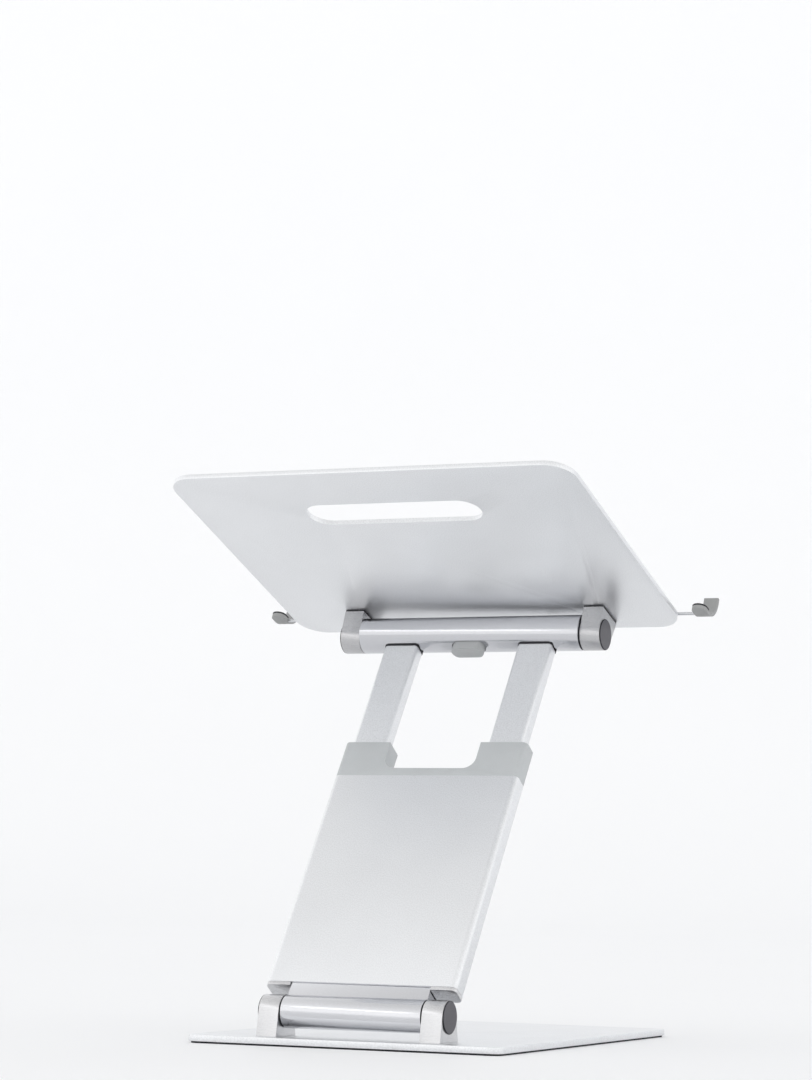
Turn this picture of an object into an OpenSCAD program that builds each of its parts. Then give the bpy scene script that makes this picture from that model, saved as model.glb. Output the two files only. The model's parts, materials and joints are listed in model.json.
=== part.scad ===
// Folding laptop stand: a weighted base, a friction-hinged telescopic arm and a tilting top plate.
// +X runs across the stand, +Y from the arm's foot towards the user, +Z up.
// The origin is the middle of the footprint, on the surface that the stand rests on.

/* [Base] */
// Width of the base plate
base_w = 208; // [190:1:240]
// Depth of the base plate
base_d = 275; // [255:1:300]
// Thickness of the base plate
base_t = 4; // [3:0.5:6]
// Corner radius of the base plate
base_corner_r = 7; // [3:1:20]
// Thickness of the rubber sheet under the base
foot_t = 1.1; // [0.5:0.1:2]
// Distance from the base plate's rear edge to the lower hinge axis
hinge_inset = 23.6; // [20:0.2:40]
// Height of the lower hinge axis above the base plate
hinge_rise = 14.8; // [13:0.2:20]

/* [Arm] */
// Angle of the arm above the horizontal
arm_angle = 55.3; // [10:0.1:88]
// Distance between the two hinge axes
arm_len = 289; // [215:1:315]
// Width of the casing
casing_w = 126.6; // [126:0.2:130]
// Thickness of the casing
casing_t = 14; // [14:0.5:16]
// Wall of the casing
casing_wall = 1.2; // [1:0.1:1.2]
// Corner radius of the casing
casing_corner_r = 3.5; // [2:0.5:6]
// Start of the casing, along the arm from the lower axis
casing_start = 17; // [17:0.5:20]
// End of the casing and start of its collar
casing_end = 172; // [165:1:175]
// Length of the collar
collar_len = 26; // [22:1:30]
// Width of the notch in the collar
notch_w = 63; // [50:1:66]
// Depth of the notch in the collar
notch_depth = 20.3; // [16:0.1:21]
// Corner radius at the bottom of the notch
notch_r = 8; // [2:1:12]

/* [Telescope] */
// Width of one tube
tube_w = 23.5; // [22:0.5:24]
// Thickness of a tube
tube_t = 11; // [10:0.5:11]
// Corner radius of a tube
tube_corner_r = 2.5; // [2:0.5:4]
// Wall of a tube
tube_wall = 1.5; // [1:0.1:2]
// Distance from the middle of the arm to the middle of a tube
tube_x = 47.25; // [47:0.25:47.5]
// Reach of the tubes and their shoes below the upper axis
tube_reach = 168; // [150:1:168]

/* [Hinges] */
// Radius of the lower barrel
barrel_r = 10; // [9:0.5:10]
// Radius of the upper barrel
upper_r = 11.6; // [11:0.1:12]
// How far the upper barrel's middle lies above its hinge axis, along the arm
upper_up = 1; // [0.5:0.1:1.5]
// How far the upper barrel's middle lies behind its hinge axis
upper_back = 1; // [0.5:0.1:1.5]
// Radius of the round ends of the brackets
bracket_r = 10.1; // [9.5:0.1:10.5]
// Half length of the lower barrel
lower_half = 46.4; // [45:0.2:47]
// Half length of the upper barrel
upper_half = 77.3; // [70:0.1:80]
// Thickness of a bracket along the hinge axis
bracket_w = 13.5; // [12:0.5:16]
// Thickness of the friction washer beside each bracket
washer_t = 0.8; // [0.5:0.1:1.5]
// Radius of a hinge shaft
shaft_r = 4; // [3:0.5:5]
// Radius of the disc of an end cap
cap_r = 9.6; // [9:0.1:10]
// Width of the lower brackets' feet
bracket_foot_w = 26; // [22:1:34]

/* [Tongue] */
// Thickness of the tongue below the casing
tongue_t = 11; // [9:0.5:11]
// End of the tongue inside the casing, along the arm
tongue_end = 38; // [30:1:38]

/* [Top plate] */
// Width of the top plate
plate_w = 271.4; // [240:0.2:280]
// Depth of the top plate
plate_d = 216.6; // [200:0.2:230]
// Thickness of the top plate
plate_t = 3.1; // [2.5:0.1:4]
// Corner radius of the top plate
plate_corner_r = 17.5; // [10:0.5:25]
// Reach of the top plate in front of the upper axis
plate_front = 22.6; // [20:0.2:26]
// Distance from the upper axis to the underside of the top plate
plate_rise = 16.1; // [14:0.1:20]
// Slope of the top plate below the horizontal, towards the user
plate_tilt = 22.1; // [0:0.1:30]
// Length of the slot in the top plate
slot_len = 118.5; // [60:0.5:150]
// Width of the slot in the top plate
slot_w = 26; // [10:1:40]
// Distance from the upper axis to the middle of the slot
slot_back = 141.3; // [100:0.1:150]

/* [Release button] */
// Width of the button
button_w = 22.5; // [20:0.5:26]
// Thickness of the button
button_t = 9.4; // [8:0.1:9.5]
// How far the button's middle lies behind the upper axis
button_back = 1.75; // [1:0.05:1.8]
// Distance from the upper axis to the button's face
button_end = 15.1; // [14:0.1:16]
// Gap around the button
button_gap = 0.5; // [0.3:0.1:0.8]

/* [Front stops] */
// Distance from the middle to each hook
hook_x = 150.3; // [145:0.1:160]
// Width of a hook
hook_w = 9.6; // [8:0.2:14]
// Height of a hook above the top plate's underside
hook_h = 21; // [19:0.5:26]
// Radius of the stop rod
rod_r = 1.05; // [1:0.05:1.5]
// Distance in front of the upper axis of the stop rod
rod_front = 12.6; // [11:0.1:14]

/* [Hidden] */
$fn = 48;
SLACK = 0.01;

base_top = foot_t + base_t;
hinge_y = hinge_inset - base_d / 2;
hinge_z = base_top + hinge_rise;
tilt_y = hinge_y + arm_len * cos(arm_angle);
tilt_z = hinge_z + arm_len * sin(arm_angle);
foot_inset = 1.5;

collar_end = casing_end + collar_len;
cavity_w = casing_w - 2 * casing_wall;
cavity_t = casing_t - 2 * casing_wall;
cavity_r = casing_corner_r - casing_wall;
end_cap_t = 2.4;
end_cap_opening = 93.6;
end_cap_plug = 8;
end_cap_wall = 1.3;
collar_plug = 14;
pocket_gap = 0.2;
collar_block_w = 67;
collar_strip_in = 59.8;
collar_strip_len = 8;

sleeve_r = 6.5;
sleeve_len = 16;
running_gap = 0.05;
thread_r = 3;
recess_r = 6.6;
recess_depth = 6.2;
nut_t = 3;
nut_flats = 10;
ring_t = 1;
ring_r = 6.2;
cap_rise = 0.8;
cap_neck = 0.2;
cap_chamfer = 0.25;
cap_spigot = 1.6;
end_play = 0.2;
lower_bracket_x = lower_half + end_play + washer_t;
upper_bracket_x = upper_half - 0.2 + end_play + washer_t;

cavity_bore_r = 7;
cavity_bore_half = 61;
tube_top = 4.5;
shoe_len = 12;
shoe_plug = 8;
shoe_w = tube_w + 1.1;
shoe_t = 11.4;
plug_len = 11.5;
pull_x = 40;
pull_r = 2;
pull_end = 160;
wedge_r = 2.8;
wedge_len = 8;
wedge_bore_r = 3.9;
brake_in = 46.5;
brake_out = 61.5;
brake_len = 7.6;
brake_t = 5.8;
brake_gap = 0.2;
bar_half = 44;
bar_bottom = 4;
bar_t = 3.5;
bar_w = 7;
button_neck = 7.2;
spring_r = 3;
spring_wire = 0.7;
spring_len = 4;
seal_wall = 0.4;
seal_drop = 10.9;
tube_screw_x = 52;

screw_r = 2;
screw_head_r = 4;
small_screw_r = 1.5;
small_head_r = 2.8;

plate_top = plate_rise + plate_t;
gasket_t = 0.9;
gasket_inset = 0.2;
gasket_back = bracket_r - 0.35;
gasket_front = 15.4;
grip_t = 3.4;
grip_w = 140;
grip_d = 20;
front_grip_back = 4;
rear_grip_back = 175;
hook_body_t = 2.3;
hook_back = 2.5;
hook_bend_r = 15;
hook_bend_front = 11.5;
stop_grip_t = grip_t - hook_body_t;
rod_z = plate_top + 1.2;
rod_half = hook_x + hook_w / 2 - 1;
clip_x = 112;
clip_w = 12;
clip_t = 3;
clip_front = rod_front + 3;
clip_back = 1;
clip_screw_front = 6;

LEFT = -1;
RIGHT = 1;

SILVER = [0.87, 0.88, 0.89];
SATIN = [0.75, 0.76, 0.78];
STEEL = [0.6, 0.61, 0.63];
LIGHT_GREY = [0.73, 0.75, 0.76];
MID_GREY = [0.6, 0.61, 0.62];
DARK_GREY = [0.33, 0.33, 0.35];
BLACK = [0.08, 0.08, 0.09];

// Frames. on_arm: origin on the lower axis, Y along the arm, Z out of its rear face.
module on_arm() translate([0, hinge_y, hinge_z]) rotate([arm_angle, 0, 0]) children();

// on_head: the same directions, origin on the upper axis.
module on_head() on_arm() translate([0, arm_len, 0]) children();

// on_plate: origin on the upper axis, Y towards the plate's front edge, Z out of its top face.
module on_plate() translate([0, tilt_y, tilt_z]) rotate([-plate_tilt, 0, 0]) children();

module at_side(side) mirror([side < 0 ? 1 : 0, 0, 0]) children();

module both_sides() for (side = [LEFT, RIGHT]) at_side(side) children();

// A flat outline drawn in Y and Z, extruded along X.
module along_x(start, length) translate([start, 0, 0]) rotate([90, 0, 90]) linear_extrude(length) children();

// A flat outline drawn in X and Z, extruded along Y.
module along_y(start, length)
  translate([0, start + length, 0]) rotate([90, 0, 0]) linear_extrude(length) children();

module rod_x(start, length, r) translate([start, 0, 0]) rotate([0, 90, 0]) cylinder(h = length, r = r);

module rod_y(start, length, r) translate([0, start, 0]) rotate([-90, 0, 0]) cylinder(h = length, r = r);

module round_rect(w, d, r) {
  square([w - 2 * r, d], center = true);
  square([w, d - 2 * r], center = true);
  for (x = [-1, 1], y = [-1, 1]) translate([x * (w / 2 - r), y * (d / 2 - r)]) circle(r);
}

// Where a line from the point (x, y) touches a circle round the origin. side is 1 or -1.
function touch_angle(x, y, r, side) = atan2(y, x) + side * acos(r / norm([x, y]));
function touch_point(x, y, r, side) =
  let (a = touch_angle(x, y, r, side)) [r * cos(a), r * sin(a)];

// A countersunk screw that points down from its head's flat top.
module screw_form(r, head_r, length)
  rotate_extrude() polygon([[0, 0], [head_r, 0], [r, r - head_r], [r, -length], [0, -length]]);

module screw(r, head_r, length) difference() {
  screw_form(r, head_r, length);
  translate([0, 0, -0.6 * head_r]) cylinder(h = head_r, r = 0.62 * r + 0.4, $fn = 6);
}

// Hinge hardware on the +X side, placed from the bracket's inner face at x.
module shaft(x, barrel_half) {
  rod_x(barrel_half - sleeve_len, x - barrel_half + sleeve_len + bracket_w - recess_depth, shaft_r);
  rod_x(x + bracket_w - recess_depth - SLACK, ring_t + nut_t + 0.4, thread_r);
}

module friction_washer(x) difference() {
  rod_x(x - washer_t, washer_t, barrel_r - 0.4);
  rod_x(x - 2 * washer_t, 3 * washer_t, shaft_r);
}

module spring_washer(x) difference() {
  rod_x(x + bracket_w - recess_depth, ring_t, ring_r);
  rod_x(x + bracket_w - recess_depth - 1, ring_t + 2, thread_r);
}

module nut(x) difference() {
  translate([x + bracket_w - recess_depth + ring_t, 0, 0]) rotate([0, 90, 0])
    cylinder(h = nut_t, r = nut_flats / 2 / cos(30), $fn = 6);
  rod_x(x + bracket_w - recess_depth, ring_t + nut_t + 2, thread_r);
}

module cap(x) translate([x + bracket_w, 0, 0]) rotate([0, 90, 0]) rotate_extrude() polygon([
  [0, -cap_spigot], [recess_r, -cap_spigot], [recess_r, 0], [cap_r - 0.6, 0], [cap_r - 0.6, cap_neck],
  [cap_r, cap_neck], [cap_r, cap_rise - cap_chamfer], [cap_r - cap_chamfer, cap_rise], [0, cap_rise]
]);

module sleeve(barrel_half) difference() {
  rod_x(barrel_half - sleeve_len, sleeve_len, sleeve_r);
  rod_x(barrel_half - sleeve_len - 1, sleeve_len + 2, shaft_r + running_gap);
}

module bracket_bores(x) {
  rod_x(x - 1, bracket_w + 2, shaft_r);
  rod_x(x + bracket_w - recess_depth, recess_depth + 1, recess_r);
}

// Base
module base_screw_places() both_sides()
  for (y = [-7, 7]) translate([lower_bracket_x + bracket_w / 2, hinge_y + y, foot_t])
    mirror([0, 0, 1]) children();

base_screw_len = base_t + 7;

module base_plate() color(SILVER) difference() {
  translate([0, 0, foot_t]) linear_extrude(base_t) round_rect(base_w, base_d, base_corner_r);
  base_screw_places() screw_form(screw_r, screw_head_r, base_screw_len);
}

module base_foot() color(BLACK) linear_extrude(foot_t)
  round_rect(base_w - 2 * foot_inset, base_d - 2 * foot_inset, base_corner_r - foot_inset);

module lower_bracket(side) color(SATIN) {
  foot = bracket_foot_w / 2;
  near = touch_point(-foot, -hinge_rise, bracket_r, -1);
  far = touch_point(foot, -hinge_rise, bracket_r, 1);
  difference() {
    translate([0, hinge_y, hinge_z]) at_side(side) difference() {
      along_x(lower_bracket_x, bracket_w) {
        circle(bracket_r);
        polygon([[-foot, -hinge_rise], [foot, -hinge_rise], far, [0, 0], near]);
      }
      bracket_bores(lower_bracket_x);
    }
    base_screw_places() screw_form(screw_r, screw_head_r, base_screw_len);
  }
}

module lower_bracket_screws() color(STEEL)
  base_screw_places() screw(screw_r, screw_head_r, base_screw_len);

module on_lower_axis(side) translate([0, hinge_y, hinge_z]) at_side(side) children();

module lower_shaft(side) color(STEEL) on_lower_axis(side) shaft(lower_bracket_x, lower_half);

module lower_hinge_washers() color(BLACK)
  for (side = [LEFT, RIGHT]) on_lower_axis(side) friction_washer(lower_bracket_x);

module lower_spring_washers() color(STEEL)
  for (side = [LEFT, RIGHT]) on_lower_axis(side) spring_washer(lower_bracket_x);

module lower_hinge_nuts() color(STEEL)
  for (side = [LEFT, RIGHT]) on_lower_axis(side) nut(lower_bracket_x);

module lower_cap(side) color(DARK_GREY) on_lower_axis(side) cap(lower_bracket_x);

// Arm
module tongue_screw_places() on_arm() for (x = [-36, -12, 12, 36])
  translate([x, 28, -casing_t / 2]) mirror([0, 0, 1]) children();

module collar_screw_places() on_arm() for (x = [-22, 22])
  translate([x, casing_end - collar_plug / 2, -casing_t / 2]) mirror([0, 0, 1]) children();

tongue_screw_len = 9;
collar_screw_len = 6;

module hinge_tongue() color(SATIN) difference() {
  on_arm() along_x(-lower_half, 2 * lower_half) difference() {
    union() {
      circle(barrel_r);
      translate([0, -tongue_t / 2]) square([tongue_end, tongue_t]);
      translate([casing_start + 0.4, -cavity_t / 2]) square([tongue_end - casing_start - 0.4, cavity_t]);
    }
    circle(sleeve_r);
  }
  tongue_screw_places() screw_form(small_screw_r, small_head_r, tongue_screw_len);
}

module lower_hinge_sleeves() color(STEEL) on_arm() both_sides() sleeve(lower_half);

module casing() color(SILVER) difference() {
  on_arm() along_y(casing_start, casing_end - casing_start) difference() {
    round_rect(casing_w, casing_t, casing_corner_r);
    round_rect(cavity_w, cavity_t, cavity_r);
  }
  tongue_screw_places() screw_form(small_screw_r, small_head_r, tongue_screw_len);
  collar_screw_places() screw_form(small_screw_r, small_head_r, collar_screw_len);
}

module casing_end_cap() color(SATIN) on_arm() {
  along_y(casing_start - end_cap_t, end_cap_t) difference() {
    round_rect(casing_w, casing_t, casing_corner_r);
    translate([-end_cap_opening / 2, -casing_t / 2 + end_cap_wall]) square([end_cap_opening, casing_t]);
  }
  plug_w = (cavity_w - 2 * cavity_r - end_cap_opening) / 2;
  both_sides() along_y(casing_start, end_cap_plug)
    translate([(end_cap_opening + plug_w) / 2, 0]) square([plug_w, cavity_t - 0.2], center = true);
}

module tube_pockets(gap) both_sides() translate([tube_x, 0])
  round_rect(tube_w + 2 * gap, tube_t + 2 * gap, tube_corner_r + gap);

module collar() color(LIGHT_GREY) difference() {
  notch_bottom = collar_end - notch_depth;
  on_arm() difference() {
    union() {
      along_y(casing_end, collar_len) round_rect(casing_w, casing_t, casing_corner_r);
      along_y(casing_end - collar_plug, collar_plug)
        square([collar_block_w, cavity_t - 0.2], center = true);
      both_sides() along_y(casing_end - collar_strip_len, collar_strip_len)
        translate([collar_strip_in, -cavity_t / 4])
          square([cavity_w / 2 - 0.1 - collar_strip_in, cavity_t / 2]);
    }
    along_y(casing_end - 2, collar_len + 4) tube_pockets(pocket_gap);
    linear_extrude(2 * casing_t, center = true) {
      translate([-notch_w / 2, notch_bottom + notch_r]) square([notch_w, notch_depth]);
      translate([-notch_w / 2 + notch_r, notch_bottom]) square([notch_w - 2 * notch_r, notch_depth]);
      for (x = [-1, 1]) translate([x * (notch_w / 2 - notch_r), notch_bottom + notch_r]) circle(notch_r);
    }
  }
  collar_screw_places() screw_form(small_screw_r, small_head_r, collar_screw_len);
}

module tongue_screws() color(STEEL)
  tongue_screw_places() screw(small_screw_r, small_head_r, tongue_screw_len);

module collar_screws() color(STEEL)
  collar_screw_places() screw(small_screw_r, small_head_r, collar_screw_len);

// Telescope
module tube_inside()
  round_rect(tube_w - 2 * tube_wall, tube_t - 2 * tube_wall, tube_corner_r - tube_wall + 0.2);

module tube(side) color(SILVER) on_head() at_side(side) translate([tube_x, 0, 0])
  along_y(shoe_len - tube_reach, tube_reach - shoe_len - tube_top) difference() {
    round_rect(tube_w, tube_t, tube_corner_r);
    tube_inside();
  }

tube_screw_top = 11.4;
tube_screw_len = 24.4;

module tube_screw_places() both_sides()
  translate([tube_screw_x, tube_screw_top, 0]) rotate([-90, 0, 0]) children();

module stadium(w, t) {
  square([w - t, t], center = true);
  for (x = [-1, 1]) translate([x * (w - t) / 2, 0]) circle(t / 2);
}

module upper_barrel_form() translate([0, upper_up, upper_back]) rod_x(-upper_half, 2 * upper_half, upper_r);

module button_place() translate([0, 0, button_back]) children();

module upper_barrel() color(SATIN) on_head() difference() {
  upper_barrel_form();
  rod_x(-upper_half - 1, 2 * upper_half + 2, sleeve_r);
  rod_x(-cavity_bore_half, 2 * cavity_bore_half, cavity_bore_r);
  along_y(-upper_r - 1, upper_r + 1 - tube_top) tube_pockets(0);
  button_place() along_y(-upper_r - 1, upper_r + 1 - tube_top)
    stadium(button_w + 2 * button_gap, button_t + 2 * button_gap);
  tube_screw_places() {
    screw_form(screw_r, screw_head_r, tube_screw_len);
    cylinder(h = 2, r = screw_head_r);
  }
}

module upper_hinge_sleeves() color(STEEL) on_head() both_sides() sleeve(upper_half);

module tube_plugs() color(DARK_GREY) on_head() difference() {
  both_sides() translate([tube_x, 0, 0]) along_y(-tube_top - plug_len, plug_len) tube_inside();
  both_sides() translate([pull_x, 0, 0]) rod_y(-tube_top - plug_len - 1, plug_len + 2, pull_r + 0.4);
  tube_screw_places() screw_form(screw_r, screw_head_r, tube_screw_len);
}

module tube_screws() color(STEEL) on_head()
  tube_screw_places() screw(screw_r, screw_head_r, tube_screw_len);

module tube_seals() color(BLACK) on_head() difference() {
  both_sides() translate([tube_x, 0, 0]) along_y(-seal_drop, seal_drop - tube_top) difference() {
    round_rect(tube_w + 2 * seal_wall, tube_t + 2 * seal_wall, tube_corner_r + seal_wall);
    round_rect(tube_w, tube_t, tube_corner_r);
  }
  upper_barrel_form();
}

module tube_shoe(side) color(BLACK) on_head() at_side(side) difference() {
  translate([tube_x, 0, 0]) {
    along_y(-tube_reach, shoe_len) round_rect(shoe_w, shoe_t, tube_corner_r);
    along_y(shoe_len - tube_reach - SLACK, shoe_plug) tube_inside();
  }
  translate([pull_x, 0, 0]) rod_y(-tube_reach - 1, shoe_len + shoe_plug + 2, wedge_bore_r);
  brake_slot_start = 2 - brake_gap - tube_reach;
  along_y(brake_slot_start, brake_len + 2 * brake_gap)
    translate([pull_x, -brake_t / 2 - brake_gap]) square([tube_w, brake_t + 2 * brake_gap]);
}

// Release: button, bar, spring, pull rods and the brake shoes that they free
module release_button() color(MID_GREY) on_head() {
  button_place() difference() {
    along_y(-button_end, button_end - button_neck) stadium(button_w, button_t);
    translate([0, -button_end - 24.2, 0]) rod_x(-button_w, 2 * button_w, 24.8);
  }
  along_y(-button_neck - SLACK, button_neck + SLACK - bar_bottom)
    square([button_w / 2, bar_w - 1], center = true);
}

module release_bar() color(STEEL) on_head() translate([-bar_half, -bar_bottom, -bar_w / 2])
  cube([2 * bar_half, bar_t, bar_w]);

module button_spring() color(STEEL) on_head() translate([0, bar_t - bar_bottom, 0]) difference() {
  rod_y(0, spring_len, spring_r);
  rod_y(-1, spring_len + 2, spring_r - spring_wire);
}

module pull_rods() color(STEEL) on_head() both_sides() translate([pull_x, 0, 0]) {
  rod_y(-pull_end, pull_end - bar_bottom, pull_r);
  translate([0, -pull_end, 0]) rotate([-90, 0, 0]) cylinder(h = wedge_len, r1 = wedge_r, r2 = pull_r);
}

module brake_shoe(side) color(DARK_GREY) on_head() at_side(side)
  translate([brake_in, 2 - tube_reach, -brake_t / 2]) cube([brake_out - brake_in, brake_len, brake_t]);

// Top plate
module plate_screw_places() on_plate() both_sides()
  for (y = [-4, 10]) translate([upper_bracket_x + bracket_w / 2, y, plate_top]) children();

module clip_screw_places() on_plate() both_sides()
  translate([clip_x, clip_screw_front, plate_top + clip_t]) children();

plate_screw_len = plate_t + 7;
clip_screw_len = clip_t + plate_t - 0.6;

module top_plate() color(SILVER) difference() {
  on_plate() translate([0, 0, plate_rise]) linear_extrude(plate_t) difference() {
    translate([0, plate_front - plate_d / 2]) round_rect(plate_w, plate_d, plate_corner_r);
    translate([0, -slot_back]) stadium(slot_len, slot_w);
  }
  plate_screw_places() screw_form(screw_r, screw_head_r, plate_screw_len);
  clip_screw_places() screw_form(small_screw_r, small_head_r, clip_screw_len);
}

// An upper bracket's foot, up to a height above the axis, seen from the side.
module upper_foot_side(top) {
  inside_r = bracket_r - 0.05;
  foot_front = 16;
  front = touch_point(foot_front, plate_rise, inside_r, -1);
  slope = (foot_front - front[0]) / (plate_rise - front[1]);
  polygon([[-inside_r, 0], [-inside_r, top], [foot_front - slope * (plate_rise - top), top], front, [1, -3]]);
}

module upper_bracket(side) color(SATIN) difference() {
  on_plate() at_side(side) difference() {
    union() {
      rod_x(upper_bracket_x, bracket_w, bracket_r);
      along_x(upper_bracket_x, bracket_w) upper_foot_side(plate_rise - gasket_t);
    }
    bracket_bores(upper_bracket_x);
  }
  plate_screw_places() screw_form(screw_r, screw_head_r, plate_screw_len);
}

module upper_bracket_gaskets() color(BLACK) difference() {
  on_plate() both_sides() translate([upper_bracket_x + gasket_inset, -gasket_back, plate_rise - gasket_t])
    cube([bracket_w - 2 * gasket_inset, gasket_back + gasket_front, gasket_t]);
  plate_screw_places() screw_form(screw_r, screw_head_r, plate_screw_len);
}

module upper_bracket_screws() color(STEEL)
  plate_screw_places() screw(screw_r, screw_head_r, plate_screw_len);

module upper_shaft(side) color(STEEL) on_plate() at_side(side) shaft(upper_bracket_x, upper_half);

module upper_hinge_washers() color(BLACK) on_plate() both_sides() friction_washer(upper_bracket_x);

module upper_spring_washers() color(STEEL) on_plate() both_sides() spring_washer(upper_bracket_x);

module upper_hinge_nuts() color(STEEL) on_plate() both_sides() nut(upper_bracket_x);

module upper_cap(side) color(DARK_GREY) on_plate() at_side(side) cap(upper_bracket_x);

// Front stops
module stop_rod() color(STEEL) on_plate()
  translate([0, rod_front, rod_z]) rod_x(-rod_half, 2 * rod_half, rod_r);

module stop_rod_clips() color(DARK_GREY) difference() {
  on_plate() both_sides() difference() {
    translate([clip_x - clip_w / 2, -clip_back, plate_top]) cube([clip_w, clip_front + clip_back, clip_t]);
    translate([0, rod_front, rod_z]) rod_x(clip_x - clip_w, 2 * clip_w, rod_r);
  }
  clip_screw_places() screw_form(small_screw_r, small_head_r, clip_screw_len);
}

module clip_screws() color(STEEL)
  clip_screw_places() screw(small_screw_r, small_head_r, clip_screw_len);

// A hook's side view in Y and Z: a tab, a quarter bend and an upright lip.
module hook_side() {
  t = hook_body_t;
  bend_top = plate_top + hook_bend_r;
  translate([-hook_w, plate_top]) square([hook_w + hook_bend_front, t]);
  translate([hook_bend_front, bend_top]) difference() {
    circle(hook_bend_r);
    circle(hook_bend_r - t);
    translate([-2 * hook_bend_r, -2 * hook_bend_r]) square([2 * hook_bend_r, 4 * hook_bend_r]);
    translate([-2 * hook_bend_r, 0]) square([4 * hook_bend_r, 2 * hook_bend_r]);
  }
  translate([hook_bend_front + hook_bend_r - t, bend_top])
    square([t, plate_rise + hook_h - bend_top]);
}

// The tab's outline seen from above, in X and Y: a half circle behind straight sides.
module hook_plan(front) {
  r = hook_w / 2;
  translate([0, hook_back + r]) circle(r);
  translate([-r, hook_back + r]) square([hook_w, front - hook_back - r]);
}

module stop_hook(side) color(MID_GREY) on_plate() at_side(side) difference() {
  intersection() {
    along_x(hook_x - hook_w / 2, hook_w) hook_side();
    translate([hook_x, 0, plate_top - 1]) linear_extrude(hook_h + 2)
      hook_plan(hook_bend_front + hook_bend_r + 1);
  }
  translate([0, rod_front, rod_z]) rod_x(hook_x - hook_w, rod_half - hook_x + hook_w, rod_r);
}

module stop_grip(side) color(BLACK) on_plate() at_side(side)
  translate([hook_x, 0, plate_top + hook_body_t]) linear_extrude(stop_grip_t) hook_plan(hook_bend_front);

module plate_grips() color(BLACK) on_plate()
  for (back = [front_grip_back, rear_grip_back]) translate([0, -back, plate_top])
    linear_extrude(grip_t) round_rect(grip_w, grip_d, grip_d / 4);

base_plate();
base_foot();
lower_bracket(LEFT);  // lower_left_bracket
lower_bracket(RIGHT);  // lower_right_bracket
lower_bracket_screws();
lower_shaft(LEFT);  // lower_left_hinge_shaft
lower_shaft(RIGHT);  // lower_right_hinge_shaft
lower_hinge_washers();
lower_spring_washers();
lower_hinge_nuts();
lower_cap(LEFT);  // lower_left_cap
lower_cap(RIGHT);  // lower_right_cap
hinge_tongue();
lower_hinge_sleeves();
casing();
casing_end_cap();
collar();
tongue_screws();
collar_screws();
tube(LEFT);  // left_tube
tube(RIGHT);  // right_tube
upper_barrel();
upper_hinge_sleeves();
tube_plugs();
tube_screws();
tube_seals();
tube_shoe(LEFT);  // left_tube_shoe
tube_shoe(RIGHT);  // right_tube_shoe
release_button();
release_bar();
button_spring();
pull_rods();
brake_shoe(LEFT);  // left_brake_shoe
brake_shoe(RIGHT);  // right_brake_shoe
top_plate();
upper_bracket(LEFT);  // upper_left_bracket
upper_bracket(RIGHT);  // upper_right_bracket
upper_bracket_gaskets();
upper_bracket_screws();
upper_shaft(LEFT);  // upper_left_hinge_shaft
upper_shaft(RIGHT);  // upper_right_hinge_shaft
upper_hinge_washers();
upper_spring_washers();
upper_hinge_nuts();
upper_cap(LEFT);  // upper_left_cap
upper_cap(RIGHT);  // upper_right_cap
stop_rod();
stop_rod_clips();
clip_screws();
stop_hook(LEFT);  // left_stop_hook
stop_hook(RIGHT);  // right_stop_hook
stop_grip(LEFT);  // left_stop_grip
stop_grip(RIGHT);  // right_stop_grip
plate_grips();
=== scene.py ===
"""Looks of the folding laptop stand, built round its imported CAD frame."""
import json
import math

import bmesh
import bpy
from mathutils import Matrix, Vector


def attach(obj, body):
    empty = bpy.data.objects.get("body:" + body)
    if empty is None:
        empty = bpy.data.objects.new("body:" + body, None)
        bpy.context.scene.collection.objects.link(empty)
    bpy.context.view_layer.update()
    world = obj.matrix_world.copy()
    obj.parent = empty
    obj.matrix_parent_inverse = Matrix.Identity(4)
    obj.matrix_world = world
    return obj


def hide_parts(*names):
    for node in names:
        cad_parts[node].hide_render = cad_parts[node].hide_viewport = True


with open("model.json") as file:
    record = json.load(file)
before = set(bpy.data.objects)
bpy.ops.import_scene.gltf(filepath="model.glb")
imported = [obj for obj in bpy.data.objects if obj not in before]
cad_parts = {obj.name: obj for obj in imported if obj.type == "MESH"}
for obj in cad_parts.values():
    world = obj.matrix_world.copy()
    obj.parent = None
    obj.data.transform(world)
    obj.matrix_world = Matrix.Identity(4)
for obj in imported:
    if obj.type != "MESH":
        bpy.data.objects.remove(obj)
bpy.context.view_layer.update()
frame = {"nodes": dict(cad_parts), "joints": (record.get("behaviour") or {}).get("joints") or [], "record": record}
NODES = frame["nodes"]
RECORD = frame["record"]
SLOTS = {part["node"]: part["material_slot"] for part in RECORD["subparts"]}
MM = 0.001
SMOOTH_ANGLE = math.radians(28)
EASE_ANGLE = math.radians(32)
EASE_SEGMENTS = 3
FLAT_ANGLE = math.radians(0.4)
MERGE_DISTANCE = 0.002 * MM
CAP_GROOVE_R = 9.62 * MM


# Places: one matrix each for the base, the arm and the top plate, with X along the hinges.
def joint(name):
    return next(j for j in frame["joints"] if j["name"] == name)


def mount(name):
    return next(m for m in RECORD["mounts"] if m["name"] == name)


def place(origin, along=None, out=None):
    """A matrix with X across the stand, and either Y along or Z out of the piece."""
    across = Vector((1, 0, 0))
    if along is not None:
        y = Vector(along).normalized()
        z = across.cross(y)
    else:
        z = Vector(out).normalized()
        y = z.cross(across)
    turn = Matrix((across, y, z)).transposed().to_4x4()
    return Matrix.Translation(Vector(origin)) @ turn


BASE = Matrix.Identity(4)
ARM = place(joint("fold")["pos_m"], along=joint("height")["axis"])
HEAD = place(joint("tilt")["pos_m"], along=joint("height")["axis"])
PLATE = place(joint("tilt")["pos_m"], out=mount("laptop_bed")["axis"])
PLACES = {
    "base": BASE, "arm": ARM, "telescope": HEAD, "release": HEAD,
    "left_brake": HEAD, "right_brake": HEAD, "plate": PLATE,
}
BODY_OF = {n: body for body, nodes in RECORD["behaviour"]["bodies"].items() for n in nodes}


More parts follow.
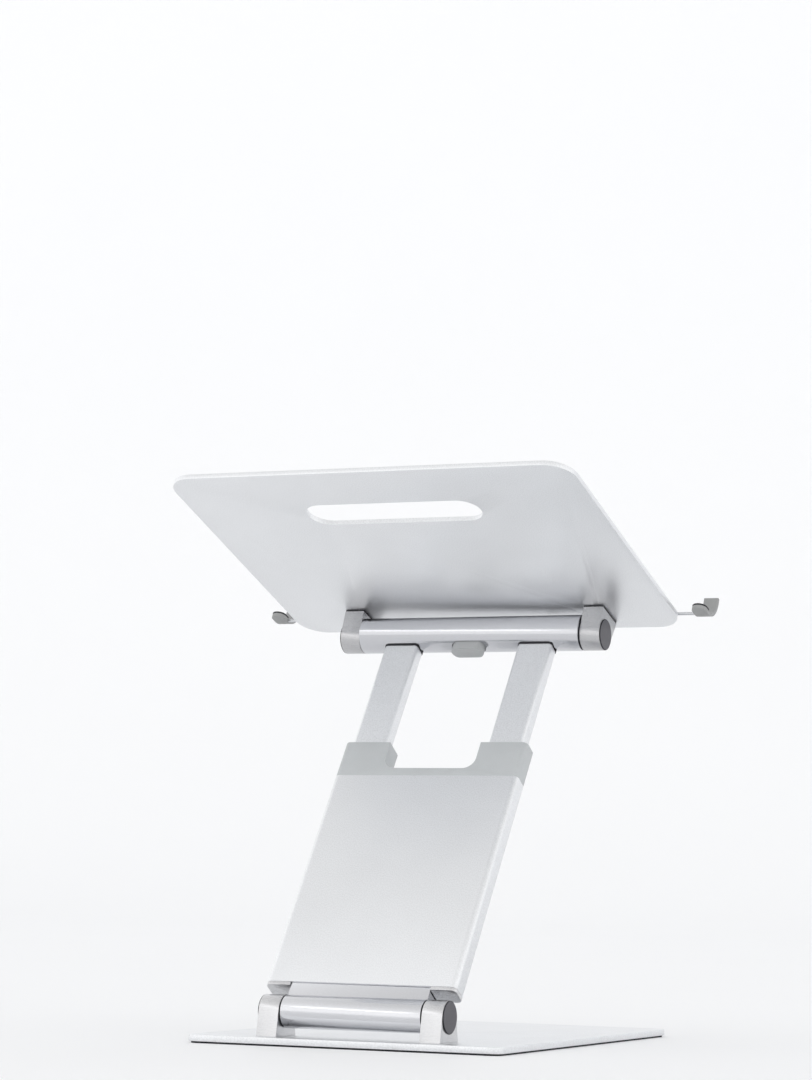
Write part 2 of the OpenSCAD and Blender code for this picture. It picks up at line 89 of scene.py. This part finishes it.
# Camera
VIEW_FROM = Vector((0.8593, -1.8824, 0.1119))
VIEW_YAW = math.radians(25.19)
VIEW_PITCH = math.radians(5.62)
VIEW_ROLL = math.radians(0.95)
VIEW_LENS = 108.5
SENSOR = 36.0


def make_camera():
    data = bpy.data.cameras.new("camera")
    data.sensor_fit = "VERTICAL"
    data.sensor_height = SENSOR
    data.lens = VIEW_LENS
    data.clip_end = 50
    ahead = Vector((
        -math.sin(VIEW_YAW) * math.cos(VIEW_PITCH),
        math.cos(VIEW_YAW) * math.cos(VIEW_PITCH),
        math.sin(VIEW_PITCH),
    ))
    level = Vector((math.cos(VIEW_YAW), math.sin(VIEW_YAW), 0))
    up = level.cross(ahead)
    right = math.cos(VIEW_ROLL) * level + math.sin(VIEW_ROLL) * up
    top = math.cos(VIEW_ROLL) * up - math.sin(VIEW_ROLL) * level
    camera = bpy.data.objects.new("camera", data)
    turn = Matrix((right, top, -ahead)).transposed().to_4x4()
    camera.matrix_world = Matrix.Translation(VIEW_FROM) @ turn
    bpy.context.scene.collection.objects.link(camera)
    bpy.context.scene.camera = camera


# Materials
class Nodes:
    """A material's node tree, with short calls that add and join its nodes."""

    def __init__(self, name):
        self.material = bpy.data.materials.new(name)
        self.material.use_nodes = True
        self.tree = self.material.node_tree
        self.shader = self.tree.nodes["Principled BSDF"]
        self.coords = self.tree.nodes.new("ShaderNodeTexCoord").outputs["Object"]

    def join(self, out, socket):
        self.tree.links.new(out, socket)

    def stretched(self, scale):
        node = self.tree.nodes.new("ShaderNodeMapping")
        node.inputs["Scale"].default_value = scale
        self.join(self.coords, node.inputs["Vector"])
        return node.outputs["Vector"]

    def noise(self, size, detail=2.0, rough=0.5, stretch=None):
        """Noise whose features are about size metres across."""
        node = self.tree.nodes.new("ShaderNodeTexNoise")
        node.inputs["Scale"].default_value = 1.0 / size
        node.inputs["Detail"].default_value = detail
        node.inputs["Roughness"].default_value = rough
        self.join(self.stretched(stretch) if stretch else self.coords, node.inputs["Vector"])
        return node.outputs["Fac"]

    def ramp(self, value, low, high, start=0.3, end=0.7):
        """Maps a value between start and end onto low to high."""
        node = self.tree.nodes.new("ShaderNodeMapRange")
        for name, number in (("From Min", start), ("From Max", end), ("To Min", low), ("To Max", high)):
            node.inputs[name].default_value = number
        self.join(value, node.inputs["Value"])
        return node.outputs["Result"]

    def math(self, operation, a, b):
        node = self.tree.nodes.new("ShaderNodeMath")
        node.operation = operation
        for socket, value in zip(node.inputs, (a, b)):
            if isinstance(value, (int, float)):
                socket.default_value = value
            else:
                self.join(value, socket)
        return node.outputs[0]

    def tinted(self, colour, shade):
        """The colour times a shade that varies over the surface."""
        node = self.tree.nodes.new("ShaderNodeMix")
        node.data_type = "RGBA"
        node.blend_type = "MULTIPLY"
        node.inputs["Factor"].default_value = 1.0
        node.inputs["A"].default_value = (*colour, 1)
        grey = self.tree.nodes.new("ShaderNodeCombineColor")
        for name in ("Red", "Green", "Blue"):
            self.join(shade, grey.inputs[name])
        self.join(grey.outputs["Color"], node.inputs["B"])
        self.join(node.outputs["Result"], self.shader.inputs["Base Color"])

    def bump(self, height, depth):
        node = self.tree.nodes.new("ShaderNodeBump")
        node.inputs["Strength"].default_value = 1.0
        node.inputs["Distance"].default_value = depth
        self.join(height, node.inputs["Height"])
        self.join(node.outputs["Normal"], self.shader.inputs["Normal"])


def metal(name, colour, rough, grain=0.35 * MM, spread=0.08, lines=None):
    """Blasted and anodised metal: a fine grain of lighter and darker specks, and faint clouds."""
    n = Nodes(name)
    n.shader.inputs["Metallic"].default_value = 1.0
    specks = n.noise(grain, detail=1.0)
    clouds = n.noise(45 * MM, detail=3.0)
    shade = n.math("ADD", n.ramp(specks, -spread, spread), n.ramp(clouds, 0.985, 1.015))
    rough_now = n.ramp(specks, rough - 0.06, rough + 0.06)
    height = specks
    if lines:
        streaks = n.noise(lines, detail=2.0, stretch=(0.02, 1, 1))
        shade = n.math("ADD", shade, n.ramp(streaks, -0.03, 0.03))
        rough_now = n.math("ADD", rough_now, n.ramp(streaks, -0.04, 0.04))
        height = n.math("ADD", specks, streaks)
    n.tinted(colour, shade)
    n.join(rough_now, n.shader.inputs["Roughness"])
    n.bump(height, 0.02 * MM)
    return n.material


def moulded(name, colour, rough, spread=0.05, specular=0.45):
    """Moulded plastic or rubber with a fine eroded texture."""
    n = Nodes(name)
    n.shader.inputs["Specular IOR Level"].default_value = specular
    skin = n.noise(0.5 * MM, detail=3.0, rough=0.6)
    clouds = n.noise(12 * MM, detail=2.0)
    shade = n.math("ADD", n.ramp(skin, -spread, spread), n.ramp(clouds, 0.98, 1.02))
    n.tinted(colour, shade)
    n.join(n.ramp(skin, rough - 0.07, rough + 0.07), n.shader.inputs["Roughness"])
    n.bump(skin, 0.03 * MM)
    return n.material


def make_materials():
    return {
        "silver": metal("silver", (0.80, 0.81, 0.825), 0.40, grain=0.7 * MM, spread=0.07),
        "satin": metal("satin", (0.66, 0.66, 0.67), 0.28, grain=0.3 * MM, spread=0.05, lines=0.25 * MM),
        "barrel": metal("barrel", (0.70, 0.705, 0.73), 0.17, grain=0.6 * MM, spread=0.035),
        # Painted shade: darker copies of satin and barrel for the upper brackets and upper barrel, standing in for
        # the shadow of the plate above
        "shade_painted_satin": metal(
            "shade_painted_satin", (0.52, 0.52, 0.53), 0.30, grain=0.3 * MM, spread=0.05, lines=0.25 * MM
        ),
        "shade_painted_barrel": metal("shade_painted_barrel", (0.60, 0.605, 0.63), 0.17, grain=0.6 * MM, spread=0.035),
        "steel": metal("steel", (0.60, 0.61, 0.63), 0.28, spread=0.04, lines=0.3 * MM),
        "light_grey": moulded("light_grey", (0.50, 0.52, 0.53), 0.42),
        "mid_grey": moulded("mid_grey", (0.42, 0.43, 0.435), 0.42),
        "dark_grey": moulded("dark_grey", (0.085, 0.083, 0.095), 0.45),
        "black_rubber": moulded("black_rubber", (0.016, 0.016, 0.020), 0.62, spread=0.15, specular=0.35),
        "grey_rubber": moulded("grey_rubber", (0.33, 0.335, 0.335), 0.6, specular=0.3),
    }


# Pieces
def dressed(node, material):
    """A CAD node that is shown as it is, in its material."""
    data = NODES[node].data
    data.materials.clear()
    data.materials.append(material)
    data.shade_smooth()
    data.set_sharp_from_angle(angle=SMOOTH_ANGLE)


def eased(node, material, width):
    """A piece with the CAD node's shape, in its body's own directions, with its sharp edges eased."""
    place_of = PLACES[BODY_OF[node]]
    data = NODES[node].data.copy()
    data.name = node + "_eased"
    data.transform(place_of.inverted())
    shape = bmesh.new()
    shape.from_mesh(data)
    bmesh.ops.remove_doubles(shape, verts=shape.verts, dist=MERGE_DISTANCE)
    bmesh.ops.dissolve_limit(
        shape, angle_limit=FLAT_ANGLE, verts=shape.verts, edges=shape.edges, use_dissolve_boundaries=False
    )
    shape.to_mesh(data)
    shape.free()
    data.materials.clear()
    data.materials.append(material)
    data.shade_smooth()
    piece = bpy.data.objects.new(node + "_eased", data)
    bpy.context.scene.collection.objects.link(piece)
    piece.matrix_world = place_of
    bevel = piece.modifiers.new("ease", "BEVEL")
    bevel.width = width
    bevel.segments = EASE_SEGMENTS
    bevel.limit_method = "ANGLE"
    bevel.angle_limit = EASE_ANGLE
    bevel.harden_normals = True
    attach(piece, BODY_OF[node])
    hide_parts(node)


# Pieces whose finish differs from the rest of their slot. The upper barrel and upper brackets take darker copies
# of their materials: painted shade for the shadow of the plate above.
FINISH_AND_SHADE = {
    "hinge_tongue": "barrel",
    "upper_barrel": "shade_painted_barrel",
    "upper_left_bracket": "shade_painted_satin",
    "upper_right_bracket": "shade_painted_satin",
}

EASED = {
    "base_plate": 0.6 * MM, "top_plate": 0.6 * MM, "casing": 0.3 * MM, "casing_end_cap": 0.3 * MM,
    "collar": 0.6 * MM, "lower_left_bracket": 0.6 * MM, "lower_right_bracket": 0.6 * MM,
    "upper_left_bracket": 0.6 * MM, "upper_right_bracket": 0.6 * MM, "release_button": 0.8 * MM,
    "hinge_tongue": 0.3 * MM, "upper_barrel": 0.25 * MM,
    "left_stop_hook": 0.6 * MM, "right_stop_hook": 0.6 * MM,
}


def make_pieces(materials):
    for node, slot in SLOTS.items():
        material = materials[FINISH_AND_SHADE.get(node, slot)]
        if node in EASED:
            eased(node, material, EASED[node])
        else:
            dressed(node, material)


def make_cap_shade_ring(name, body, centre, side, radius, material):
    """A black ring in the groove round an end cap, painted shade for the shadow in the gap between cap and
    bracket: a rounded bead swept round the hinge axis.
    """
    turns, beads = 72, 10
    bead_r, out = 0.32 * MM, 0.28 * MM
    shape = bmesh.new()
    rings = []
    for i in range(turns):
        a = 2 * math.pi * i / turns
        ring = []
        for k in range(beads):
            b = 2 * math.pi * k / beads
            r = radius + bead_r * math.cos(b)
            x = side * (out + bead_r * math.sin(b))
            ring.append(shape.verts.new((x, r * math.cos(a), r * math.sin(a))))
        rings.append(ring)
    for i in range(turns):
        here, after = rings[i], rings[(i + 1) % turns]
        for k in range(beads):
            shape.faces.new((here[k], here[(k + 1) % beads], after[(k + 1) % beads], after[k]))
    bmesh.ops.recalc_face_normals(shape, faces=shape.faces)
    data = bpy.data.meshes.new(name)
    shape.to_mesh(data)
    shape.free()
    data.shade_smooth()
    data.materials.append(material)
    piece = bpy.data.objects.new(name, data)
    piece.location = centre
    bpy.context.scene.collection.objects.link(piece)
    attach(piece, body)


# Painted shade: black beads round the four end caps stand in for the shadow in the gap between each cap and its
# bracket
def make_cap_shade_rings(material):
    for cap, body, hinge in (("lower", "base", "fold"), ("upper", "plate", "tilt")):
        y, z = joint(hinge)["pos_m"][1:]
        for word, side in (("left", -1), ("right", 1)):
            node = NODES[f"{cap}_{word}_bracket"]
            face = max(abs(corner[0]) for corner in node.bound_box)
            name = f"{cap}_{word}_cap_shade_ring"
            make_cap_shade_ring(name, body, (side * face, y, z), side, CAP_GROOVE_R, material)


# Studio
def make_area(name, at, towards, size, power):
    data = bpy.data.lights.new(name, "AREA")
    data.shape = "RECTANGLE"
    data.size, data.size_y = size
    data.energy = power
    lamp = bpy.data.objects.new(name, data)
    lamp.location = at
    lamp.rotation_euler = (Vector(towards) - Vector(at)).to_track_quat("-Z", "Y").to_euler()
    bpy.context.scene.collection.objects.link(lamp)


def make_stage():
    """A pale floor that curves up into a backdrop behind the stand."""
    radius, reach, height, width, steps = 1.2, 3.0, 6.0, 8.0, 16
    outline = [(-6.0, 0.0), (reach, 0.0)]
    for i in range(1, steps + 1):
        turn = math.radians(90) * i / steps
        outline.append((reach + radius * math.sin(turn), radius * (1 - math.cos(turn))))
    outline.append((reach + radius, height))
    vertices = [(side * width, y, z) for y, z in outline for side in (-1, 1)]
    faces = [(2 * i, 2 * i + 1, 2 * i + 3, 2 * i + 2) for i in range(len(outline) - 1)]
    data = bpy.data.meshes.new("floor")
    data.from_pydata(vertices, [], faces)
    data.shade_smooth()
    floor = bpy.data.objects.new("floor", data)
    n = Nodes("floor")
    n.tinted((0.93, 0.935, 0.945), n.ramp(n.noise(0.4), 0.995, 1.0))
    n.shader.inputs["Roughness"].default_value = 0.6
    n.shader.inputs["Specular IOR Level"].default_value = 0.2
    data.materials.append(n.material)
    bpy.context.scene.collection.objects.link(floor)


def make_light():
    world = bpy.data.worlds.new("studio")
    world.use_nodes = True
    tree = world.node_tree
    sky = tree.nodes["Background"]
    sky.inputs["Color"].default_value = (1, 1, 1, 1)
    coords = tree.nodes.new("ShaderNodeTexCoord")
    split = tree.nodes.new("ShaderNodeSeparateXYZ")
    tree.links.new(coords.outputs["Generated"], split.inputs["Vector"])
    fade = tree.nodes.new("ShaderNodeMapRange")
    for name, number in (("From Min", 0.3), ("From Max", 1.0), ("To Min", 1.25), ("To Max", 0.78)):
        fade.inputs[name].default_value = number
    tree.links.new(split.outputs["Z"], fade.inputs["Value"])
    tree.links.new(fade.outputs["Result"], sky.inputs["Strength"])
    bpy.context.scene.world = world
    bpy.context.scene.view_settings.view_transform = "Standard"
    make_area("front", (-1.05, -1.95, 1.15), (0, 0, 0.1), (1.6, 0.3), 1.2)


make_camera()
MATERIALS = make_materials()
make_pieces(MATERIALS)
# Painted shade: black beads round the end caps draw the shadow in the cap gaps
make_cap_shade_rings(MATERIALS["black_rubber"])
make_stage()
make_light()
